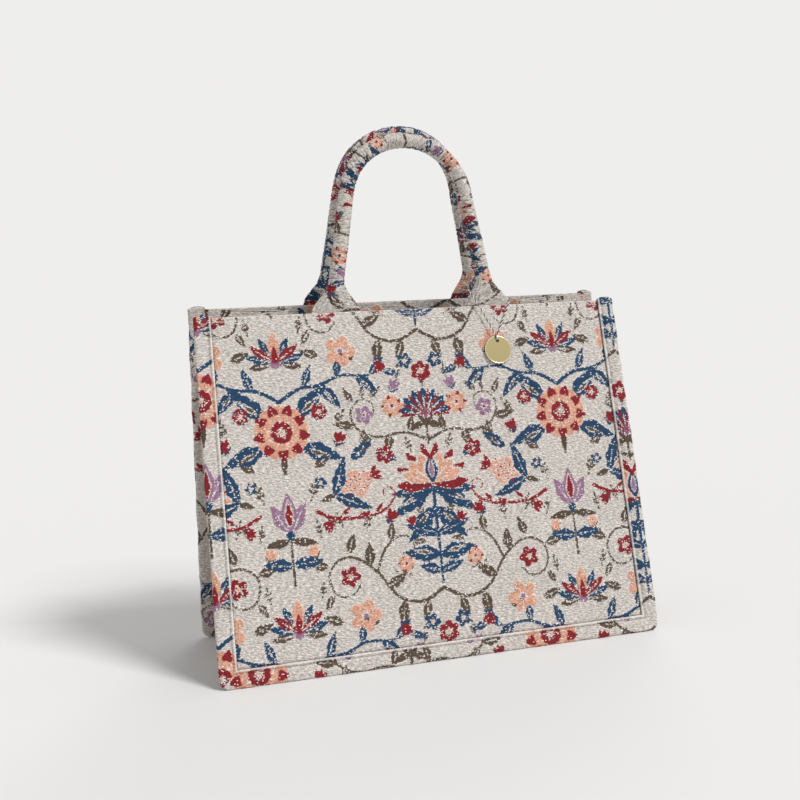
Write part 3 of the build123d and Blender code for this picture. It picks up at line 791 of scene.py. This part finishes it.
def soft_corner(across, up):
    """Round off the bag's lower outer corner: squares about the corner's centre become circles."""
    inset = corner_round - (half_width(up) - np.abs(across))
    drop = corner_round - up
    inside = (inset > 0) & (drop > 0)
    scale = np.where(inside, np.maximum(inset, drop) / np.maximum(np.hypot(inset, drop), 1e-6), 1.0)
    new_up = np.where(inside, corner_round - drop * scale, up)
    new_across = np.where(inside, np.sign(across) * (half_width(up) - corner_round + inset * scale), across)
    return new_across, new_up


def close_end(points, toward):
    """Extra rows that draw a band's open end in to a flat fold."""
    last = points[-1]
    inward = (last.mean(axis=0) - last) * np.array([0.25, 1.0, 0.0])
    rows = [last + inward * share + toward * rise for share, rise in ((0.25, 0.35), (0.6, 0.6), (0.97, 0.6))]
    return np.concatenate([points, np.array(rows)])


def band_points(side, across, up, x, depth, seed, calm):
    """Points of a band, puffed and crumpled between its lip and its outer turn."""
    across, up = soft_corner(across, up)
    points = wall_points(side, across, up, np.broadcast_to(depth, up.shape))
    swell = clamp((5.0 - depth) / 3) * clamp((x - 1.5) / 4) * calm
    puff = np.clip(wander(points, seed, *BAND_PUFFS), -0.9, 1.3)
    points = points + wall_axes(side)[0] * (swell * puff)[..., None]
    return points, wander(points, seed + 5, *BAND_WAVES) * clamp(x / band_width) ** 2 * calm


def side_band(side, hand):
    x, depth, run, fold, painted_shade = band_section()
    up_start = band_width - x
    top_drop = 1.9 * clamp((x - 5) / 10) ** 3 + 0.9 * clamp((4 - x) / 4) ** 2
    up_end = panel_height + band_rise - 0.6 - top_drop
    share = np.linspace(0, 1, int(panel_height / band_step))[:, None]
    up = up_start + (up_end - up_start) * share
    across = hand * (half_width(up) - band_width + x)
    calm = clamp((up - up_start) / 10)
    points, wave = band_points(side, across, up, x, depth, 40 + 3 * hand + side, calm)
    points[..., 0] += hand * wave
    points = close_end(points, wall_axes(side)[1])
    up = np.concatenate([up, np.repeat(up[-1:], 3, axis=0) + 1.5])
    s = BAND_STARTS[side, hand] + run
    flip = side * hand > 0
    return cloth_grid(f"{HANDS[hand]}_{NAMES[side]}_band", points, s, up + 31 * hand, fold, painted_shade, flip=flip)


def base_band(side):
    x, depth, run, fold, painted_shade = band_section()
    steps = int(2 * half_width(0) / band_step)
    share = np.linspace(-1, 1, steps)[:, None]
    up = np.broadcast_to(band_width - x, (steps, len(x)))
    across = share * (half_width(up) - band_width + x)
    calm = clamp((1 - np.abs(share)) * 20)
    points, wave = band_points(side, across, up, x, depth, 60 + side, calm)
    points[..., 2] = np.maximum(points[..., 2] + 0.8 * np.abs(wave), floor_gap)
    s = across * -side + 37
    return cloth_grid(f"{NAMES[side]}_base_band", points, s, -run - 12, fold, painted_shade, flip=side < 0)


bands = {(side, hand): side_band(side, hand) for side in SIDES for hand in HANDS}
base_bands = [base_band(side) for side in SIDES]

# Gussets: one cloth each, folded inwards between its bands
rim_height = float(wall_points(FRONT, 0, panel_height, cavity_face)[..., 2])
back_rim_height = float(wall_points(BACK, 0, panel_height, cavity_face)[..., 2])
gusset_columns = 90
gusset_rows = 220
gusset_start = 0.3
gusset_belly = 2.2
foot_ease = 1.4
fold_softness = 0.04


def half_gap(height):
    return (corner_at(BACK, height, cavity_face)[1] - corner_at(FRONT, height, cavity_face)[1]) / 2


def fold_depth(height):
    """How far a gusset's middle crease stands inside the seam line."""
    rim_fold = sqrt(half_gap(cloth) ** 2 - half_gap(rim_height) ** 2)
    share = np.clip((height - cloth) / (rim_height - cloth), 0, None)
    return np.maximum(cloth, rim_fold * share**fold_slack)


def gusset_points(heights, share):
    """Points of the right gusset's outer face: shares from the front seam (0) to the back seam (1)."""
    front_x, front_y = corner_at(FRONT, heights, cavity_face)
    back_x, back_y = corner_at(BACK, heights, cavity_face)
    inward = 1 - np.hypot(2 * share - 1, fold_softness) + fold_softness / 2
    x = front_x + (back_x - front_x) * share - fold_depth(heights) * inward + cloth
    return np.stack([x, front_y + (back_y - front_y) * share, heights + 0 * share], -1)


def gusset_piece(hand):
    share = np.linspace(0, 1, gusset_columns)[None, :]
    top = rim_height + (back_rim_height - rim_height) * share
    level = np.linspace(0, 1, gusset_rows)[:, None]
    heights = gusset_start + (top - gusset_start) * level
    points = gusset_points(heights, share)
    inner = clamp(np.minimum(share, 1 - share) * 8)
    belly = gusset_belly * np.sin(pi * np.abs(2 * share - 1)) * np.sin(pi * level)
    crumple = wander(points, 81 + hand, (70, 1.1), (24, 0.4), seed_step=10)
    points[..., 0] += inner * clamp((heights - 9) / 26) * (belly + crumple)
    points[..., 0] += foot_ease * inner * clamp(2 - heights / 10)
    points[..., 0] *= hand
    width = 2 * half_gap(cloth)
    s = (share - 0.5) * width * hand + 33
    piece = cloth_grid(f"{HANDS[hand]}_gusset_cloth", points, s, heights + 31 * hand, flip=hand < 0)
    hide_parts(f"{HANDS[hand]}_gusset")


for hand in HANDS:
    gusset_piece(hand)

# Base: the flat part of the base cloth, on the floor
base_level = 0.12
base_half = half_width(0) - band_width + cloth
base_rows = np.linspace(wall_foot(FRONT) + 1.0, wall_foot(BACK) - 1.0, 75)[:, None]
base_columns = np.linspace(-base_half, base_half, 190)[None, :]
base_x, base_y = np.broadcast_arrays(base_columns, base_rows)
base_points = np.stack([base_x, base_y, np.full(base_x.shape, base_level)], -1)
base_piece = cloth_grid("base_cloth", base_points, base_x, base_y - 70, flip=True)
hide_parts("base_panel")


def mouth_ring(drop, inset, front_steps=300, fold_steps=36):
    """Closed ring round the bag's inside, a drop below the rim, brought in by an inset."""
    front_height, back_height = rim_height - drop, back_rim_height - drop
    middle = (front_height + back_height) / 2
    front_x, front_y = corner_at(FRONT, front_height, cavity_face)
    back_x, back_y = corner_at(BACK, back_height, cavity_face)
    gap = (back_y - front_y) / 2
    fold = float(fold_depth(middle))
    side_length = hypot(gap, fold)
    corner_shift = inset * (side_length + fold) / gap
    crease_x = (front_x + back_x) / 2 - fold - inset * side_length / gap
    loop = [
        (front_x - corner_shift, front_y + inset, front_height),
        (crease_x, (front_y + back_y) / 2, middle),
        (back_x - corner_shift, back_y - inset, back_height),
    ]
    loop += [(-x, y, z) for x, y, z in reversed(loop)]
    counts = (fold_steps, fold_steps, front_steps) * 2
    runs = zip(loop, loop[1:] + loop[:1], counts)
    return np.concatenate([np.linspace(start, end, count, endpoint=False) for start, end, count in runs])


# Facing: the patterned cloth ring inside the mouth, rolled over the top to meet the walls
facing_rows = [(0.55, 0.1), (0.05, 0.35), (0.0, 0.75), (0.35, 1.1), (0.9, 1.2)]
facing_rows += [(drop, 1.2) for drop in np.linspace(2.1, facing_height, 24)]
facing_rows += [(facing_height + 0.5, 0.9), (facing_height + 0.4, 0.4)]
facing_points = np.array([mouth_ring(drop, inset) for drop, inset in facing_rows])
facing_s = np.array([run_along(ring) for ring in facing_points])
facing_points[3:-2, :, 1] += wander(facing_points[3:-2], 7, (33, 0.25))
facing_t = np.array([drop for drop, _ in facing_rows])[:, None]
facing_fold = 0.6 * bell(facing_t - (facing_height - 2.0), 0.6)
facing = cloth_grid("mouth_facing", facing_points, facing_s, 62 - facing_t, facing_fold, wrap=True)
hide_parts("rim_facing")

# Lining: a plain sewn sack below the facing, a little slack
lining_floor = cloth + base_board_thickness + 0.8
lining_inset = 1.1
lining_levels = np.linspace(facing_height - 1.5, rim_height - lining_floor, 60)
lining_points = np.array([mouth_ring(drop, lining_inset, 150, 24) for drop in lining_levels])
slack = np.sin(pi * np.linspace(0, 1, len(lining_levels)))[:, None]
inward = (lining_points.mean(axis=1, keepdims=True) - lining_points) * (1, 1, 0)
inward /= np.linalg.norm(inward, axis=2, keepdims=True)
lining_points += inward * (slack * (0.6 + wander(lining_points, 17, (60, 0.7), (21, 0.3))))[..., None]
lining_points[..., 2] = np.maximum(lining_points[..., 2], lining_floor)
floor_rows = np.repeat(lining_points[-1:], 4, axis=0)
to_middle = floor_rows[..., 1].mean(axis=1, keepdims=True) - floor_rows[..., 1]
floor_rows[..., 1] += to_middle * np.array([0.06, 0.3, 0.6, 1.0])[:, None]
floor_rows[..., 2] = lining_floor
lining_points = np.concatenate([lining_points, floor_rows])
lining_s = np.array([run_along(ring) for ring in lining_points])
lining_t = np.concatenate([lining_levels, lining_levels[-1] + np.array([4, 20, 40, 68])])[:, None]
looks = {"material": lining_material, "slot": "lining_cloth"}
lining = cloth_grid("lining_sack", lining_points, lining_s, -lining_t, wrap=True, **looks)
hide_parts("lining")

# Handles: cloth gathered on a rope, opening into fans that go down behind the rim
leg_lean = radians(handle_leg_angle)
arc_end_x = handle_top_radius * cos(leg_lean)
arc_end_y = handle_reach - handle_top_radius * (1 - sin(leg_lean))
neck_x = arc_end_x + (arc_end_y - foot_rise) * tan(leg_lean)
tail_shown = 4.0
tail_thickness = 2.0
handle_step = 0.5
handle_around = 60
foot_folds = 7
fold_height = 2.6
foot_levels = np.array([-tail_shown, 0.0, 0.16, 0.42, 0.72, 1.0]) * ([1.0] + [foot_rise] * 5)
foot_widths = np.array([1.0, 1.0, 0.93, 0.70, 0.42, handle_diameter / foot_width]) * foot_width
foot_thicknesses = np.append([tail_thickness] * 2, np.array([0.40, 0.66, 0.90, 1.0]) * handle_diameter)
GATHERS = ((2.4, 0.6), (3.9, 0.8), (6.3, 0.9), (11.0, 0.7))


def handle_line():
    """A handle's centreline in its plane, as even steps from foot to foot, with its length so far."""
    angle = np.linspace(leg_lean, pi / 2, 41)
    arc = handle_top_radius * np.stack([np.cos(angle), np.sin(angle)], -1)
    knees = [(foot_spacing / 2, -tail_shown), (foot_spacing / 2, 0), (neck_x, foot_rise)]
    half, run = even_line(np.vstack([knees, arc + (0, handle_reach - handle_top_radius)]), handle_step)
    line = np.concatenate([half, half[-2::-1] * (-1, 1)])
    return smooth_steps(line, 15), np.concatenate([run, 2 * run[-1] - run[-2::-1]])[:, None]


def ring_lengths(points):
    """Length round each closed ring of points, from the ring's own middle at zero."""
    gaps = np.linalg.norm(np.diff(points, axis=1), axis=2)
    along = np.concatenate([np.zeros((len(points), 1)), np.cumsum(gaps, axis=1)], 1)
    return along - along[:, points.shape[1] // 2 : points.shape[1] // 2 + 1]


def gathers(side, angle, run):
    """Relief of a handle's cloth: narrow creases round the roll and a broad twist."""
    rng = np.random.default_rng(300 + side)
    relief = 0.3 * np.sin(3 * angle + run / 14) * np.sin(run / 21 + 1.0)
    for size, strength in GATHERS:
        start = rng.uniform(0, 2 * pi, 4)
        phase = pi * run / size + 1.3 * np.sin(angle + start[0] + run / 23)
        phase = phase + 0.8 * np.sin(2 * angle + start[1] - run / 9)
        patch = clamp(0.5 + 0.7 * np.sin(run / (2.1 * size) + 1.7 * np.sin(angle + start[2]) + start[3]))
        relief = relief - strength * patch * (1 - np.abs(np.sin(phase))) ** 3
    return relief


def handle_piece(side):
    line, run = handle_line()
    tangent = np.gradient(line, axis=0)
    tangent /= np.linalg.norm(tangent, axis=1, keepdims=True)
    normal = np.stack([tangent[:, 1], -tangent[:, 0]], -1)
    level = line[:, 1:2]
    width = smooth_steps(np.interp(level, foot_levels, foot_widths), 13)
    thickness = smooth_steps(np.interp(level, foot_levels, foot_thicknesses), 9)
    fan = clamp((foot_rise * 1.25 - level) / foot_rise)
    angle = np.linspace(0, 2 * pi, handle_around, endpoint=False)[None, :]
    power = 2 / (2 + 1.2 * fan)
    wide = np.sign(np.cos(angle)) * np.abs(np.cos(angle)) ** power * width / 2
    thick = np.sign(np.sin(angle)) * np.abs(np.sin(angle)) ** power * thickness / 2
    lean = radians(handle_lean)
    origin = wall_points(side, 0, panel_height, board_face + panel_board / 2)
    across, upward = np.array([1.0, 0, 0]), np.array([0, -side * sin(lean), cos(lean)])
    outward = np.cross(across, upward)
    flat = line[:, None, :] + normal[:, None, :] * wide[..., None]
    points = origin + flat[..., :1] * across + flat[..., 1:] * upward + thick[..., None] * outward
    points = points + np.minimum(level, 0)[..., None] * (wall_axes(side)[1] - upward)

    # Folds spread over the feet, where the gathers fade
    relief = gathers(side, angle, run)
    ridge = np.abs(np.sin(np.cos(angle) * foot_folds * pi / 2 + 0.6 * np.sin(run / 5))) ** 0.7 - 0.55
    foot_fold = clamp(thickness / 7) * fan * (level > -1)
    # Painted shade in the gathers' creases and the valleys between the feet's folds.
    painted_shade = 1.3 * clamp(-relief / 1.2) ** 2.2 * (1 - 0.5 * fan) + 1.1 * clamp(-ridge * foot_fold * 2)
    relief = (1 - 0.6 * fan) * (relief + 0.35) + fold_height * foot_fold * ridge
    outline = points - (origin + line[:, None, :1] * across + line[:, None, 1:] * upward)
    outline = outline / np.maximum(np.linalg.norm(outline, axis=2, keepdims=True), 1e-6)
    s = ring_lengths(points) + 18 * side
    points = points + outline * np.clip(relief, -1.7, 1.2)[..., None]
    t = 1.25 * run + 47 * (side + 2)
    seam_angle = (1 - side / 2) * pi
    seam = 0.5 * bell((angle - seam_angle) * handle_diameter / 2 - 3, 0.6) * (1 - fan)
    piece = cloth_grid(f"{NAMES[side]}_handle_roll", points, s, t, seam, clamp(painted_shade), wrap=True)
    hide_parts(f"{NAMES[side]}_handle_cover")


for side in SIDES:
    handle_piece(side)


def carried_frames(line):
    """Normals and binormals carried along a line without twist."""
    tangent = np.gradient(line, axis=0)
    tangent /= np.linalg.norm(tangent, axis=1, keepdims=True)
    normals = [np.cross(tangent[0], (0.3, 0.2, 0.9))]
    for direction in tangent[1:]:
        normals.append(normals[-1] - direction * np.dot(normals[-1], direction))
        normals[-1] /= np.linalg.norm(normals[-1])
    normals[0] /= np.linalg.norm(normals[0])
    normals = np.array(normals)
    return normals, np.cross(tangent, normals)


def tube(line, radii, sides, frames=None):
    """Points and faces of a closed tube along a line."""
    normals, binormals = frames or carried_frames(line)
    angle = np.linspace(0, 2 * pi, sides, endpoint=False)[None, :, None]
    around = normals[:, None] * np.cos(angle) + binormals[:, None] * np.sin(angle)
    points = (line[:, None] + np.reshape(radii, (-1, 1, 1)) * around).reshape(-1, 3)
    faces = grid_faces(len(line), sides, wrap=True, flip=True)
    faces.append(list(range(sides)))
    faces.append(list(range(len(points) - sides, len(points)))[::-1])
    return points, faces


def tubes_mesh(name, tubes, unit):
    """One mesh of several tubes."""
    starts = np.cumsum([0] + [len(points) for points, _ in tubes])
    faces = [[start + k for k in face] for start, (_, part) in zip(starts.tolist(), tubes) for face in part]
    return new_mesh(name, np.concatenate([points for points, _ in tubes]), faces, unit)


def stitch_row(side):
    """Row of small raised stitches just below the rim on a wall's face."""
    outward = wall_axes(side)[0]
    frames = np.tile(outward, (5, 1)), np.tile(np.cross((1, 0, 0), outward), (5, 1))
    shares = np.array([0.0, 0.12, 0.5, 0.88, 1.0])
    radii = stitch_radius * np.array([0.35, 1, 1, 1, 0.35])
    lift = stitch_radius * (1.1 * np.sin(pi * np.clip(shares, 0.12, 0.88)) - 0.35)
    reach = half_width(panel_height) - band_width - 1.0
    pitch = stitch_length + stitch_gap
    tubes = []
    for n in range(int(2 * reach / pitch)):
        x = n * pitch - reach + stitch_length * shares
        line = wall_points(side, x, panel_height - stitch_drop, panel_face) + outward * lift[:, None]
        tubes.append(tube(line, radii, thread_sides, frames))
    name = f"{NAMES[side]}_rim_stitches"
    finish_piece(name, tubes_mesh(name, tubes, MM), white_thread_material)


for side in SIDES:
    stitch_row(side)

# Tag cord: the route of the cord's centre in metres, as in the solids
cord_points = [
    (0.0708, 0.0092, 0.3130), (0.0654, 0.0098, 0.3142), (0.0590, 0.0088, 0.3158), (0.0540, 0.0044, 0.3164),
    (0.0549, -0.0024, 0.3126), (0.0606, -0.0039, 0.3032), (0.0678, -0.0073, 0.2880),
    (0.0732, -0.0103, 0.2764), (0.0755, -0.0113, 0.2703), (0.0757, -0.0088, 0.2694),
    (0.0770, -0.0078, 0.2744), (0.0818, -0.0054, 0.2846), (0.0906, -0.0024, 0.3009),
    (0.0930, 0.0014, 0.3064), (0.0904, 0.0070, 0.3096), (0.0842, 0.0092, 0.3118), (0.0780, 0.0095, 0.3124),
]
strand_radius = 0.00041
strand_offset = 0.00031
strand_pitch = 0.0054
strand_sides = 8
strand_step = 0.0004


def spline_points(points):
    """Points of the smooth curve that has these points as its control points."""
    curve = bpy.data.curves.new("cord_route", "CURVE")
    curve.dimensions = "3D"
    spline = curve.splines.new("NURBS")
    spline.points.add(len(points) - 1)
    for place, point in zip(spline.points, points):
        place.co = (*point, 1)
    spline.order_u = 3
    spline.use_endpoint_u = True
    spline.resolution_u = 24
    holder = bpy.data.objects.new("cord_route", curve)
    mesh = bpy.data.meshes.new_from_object(holder)
    line = np.array([vertex.co for vertex in mesh.vertices])
    bpy.data.objects.remove(holder)
    bpy.data.meshes.remove(mesh)
    return line


def twisted_cord(name, line, run):
    normals, binormals = carried_frames(line)
    tubes = []
    for strand in range(2):
        turn = (2 * pi * run / strand_pitch + pi * strand)[:, None]
        offset = strand_offset * (normals * np.cos(turn) + binormals * np.sin(turn))
        tubes.append(tube(line + offset, strand_radius, strand_sides))
    mesh = tubes_mesh(name, tubes, 1.0)
    piece = finish_piece(name, mesh, black_thread_material)
    mesh.materials.append(white_thread_material)
    mesh.polygons.foreach_set("material_index", [k for k in range(2) for _ in tubes[k][1]])
    return piece


def knot_piece(name, centre, size):
    """Small overhand knot: a tube along a trefoil, pressed flat towards the foot."""
    a = np.linspace(0, 2 * pi, 140)[:-1]
    trefoil = np.stack([np.sin(a) + 2 * np.sin(2 * a), -np.sin(3 * a), np.cos(a) - 2 * np.cos(2 * a)], -1)
    line = centre + trefoil * (size / 2 - strand_radius) / 3
    mesh = tubes_mesh(name, [tube(line, 1.3 * strand_radius, strand_sides)], 1.0)
    return finish_piece(name, mesh, black_thread_material)


cord_line, cord_run = even_line(spline_points(cord_points), strand_step)
cord = twisted_cord("tag_cord_twist", cord_line, cord_run)
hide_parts("tag_cord")
knot = knot_piece("tag_cord_knot", np.mean([cord_points[0], cord_points[-1]], axis=0), knot_diameter * MM)
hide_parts("tag_knot")


def tag_ring():
    """Raised rim on the tag's face, in a far brighter brass than the disc: a painted highlight."""
    outward, upward = wall_axes(FRONT)
    centre = wall_points(FRONT, tag_across, tag_up, panel_face - tag_stand_off - tag_thickness)
    section = [(-0.55, -0.05), (-0.40, 0.10), (-0.15, 0.14), (0.08, 0.10), (0.22, -0.05)]
    angle = np.linspace(0, 2 * pi, 160, endpoint=False)[:, None]
    around = np.cos(angle) * (1.0, 0, 0) + np.sin(angle) * upward
    rows = [centre + (tag_diameter / 2 - 0.45 + reach) * around + lift * outward for reach, lift in section]
    mesh = new_mesh("tag_rim", rows, grid_faces(len(section), len(angle), wrap=True))
    return finish_piece("tag_rim", mesh, brass_highlight_material)


rim_piece = tag_ring()

# Materials of the solids that stay
for material, nodes in (
    (board_material, ("front_board", "back_board", "base_board")),
    (rope_material, ("front_handle_core", "back_handle_core")),
    (brass_material, ("tag",)),
):
    for node in nodes:
        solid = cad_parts[node]
        solid.data.materials.clear()
        solid.data.materials.append(material)

# Camera, at the photograph's place and viewing angle
camera_place = (-0.2758, -0.9141, 0.3140)
camera_yaw = 15.84
camera_pitch = -5.66
camera_roll = -2.43
focal_pixels = 1053.4
picture_pixels = 800

camera_data = bpy.data.cameras.new("camera")
camera_data.sensor_width = 36.0
camera_data.sensor_fit = "HORIZONTAL"
camera_data.lens = focal_pixels / picture_pixels * camera_data.sensor_width
camera = link("camera", camera_data)
placing = Matrix.Translation(camera_place)
for angle, axis in ((-camera_yaw, "Z"), (90 + camera_pitch, "X"), (camera_roll, "Z")):
    placing = placing @ Matrix.Rotation(radians(angle), 4, axis)
camera.matrix_world = placing
bpy.context.scene.camera = camera


def sun_light(name, toward, power, spread):
    """Distant lamp; toward is the direction to it, and spread its width in degrees."""
    data = bpy.data.lights.new(name, "SUN")
    data.energy = power
    data.angle = radians(spread)
    link(name, data).matrix_world = Vector(toward).to_track_quat("Z", "Y").to_matrix().to_4x4()


# Stage: a pale floor and a plain world of the same tone
floor_colour = (0.757, 0.752, 0.743)
floor_reach = 40.0
backdrop_colour = (0.86, 0.855, 0.845)
sky_strength = 0.52

floor_material = bpy.data.materials.new("pale_floor")
shader = Shader(floor_material)
shader.end(shader.add("BsdfDiffuse", {"Color": floor_colour})[0])
floor_points = [(x * floor_reach, y * floor_reach, 0) for x, y in ((-1, -1), (1, -1), (1, 1), (-1, 1))]
floor_mesh = new_mesh("studio_floor", floor_points, [(0, 1, 2, 3)], 1.0)
floor_mesh.materials.append(floor_material)
link("studio_floor", floor_mesh)

world = bpy.data.worlds.new("studio_world")
bpy.context.scene.world = world
shader = Shader(world)
path = shader.add("LightPath")
shown = shader.math("ADD", path["Is Camera Ray"], path["Is Glossy Ray"], clamp=True)
shown = shader.math("ADD", shown, path["Is Transmission Ray"], clamp=True)
light = shader.add("Background", {"Color": (1, 1, 1), "Strength": sky_strength})[0]
backdrop = shader.add("Background", {"Color": backdrop_colour, "Strength": 1.0})[0]
shader.end(shader.add("MixShader", {0: shown, 1: light, 2: backdrop})[0], "OutputWorld")

sun_light("key", (0.55, -0.62, 0.95), 2.2, 16)
sun_light("window", (0.5, 0.9, 0.7), 0.5, 30)

scene = bpy.context.scene
scene.view_settings.view_transform = "Standard"
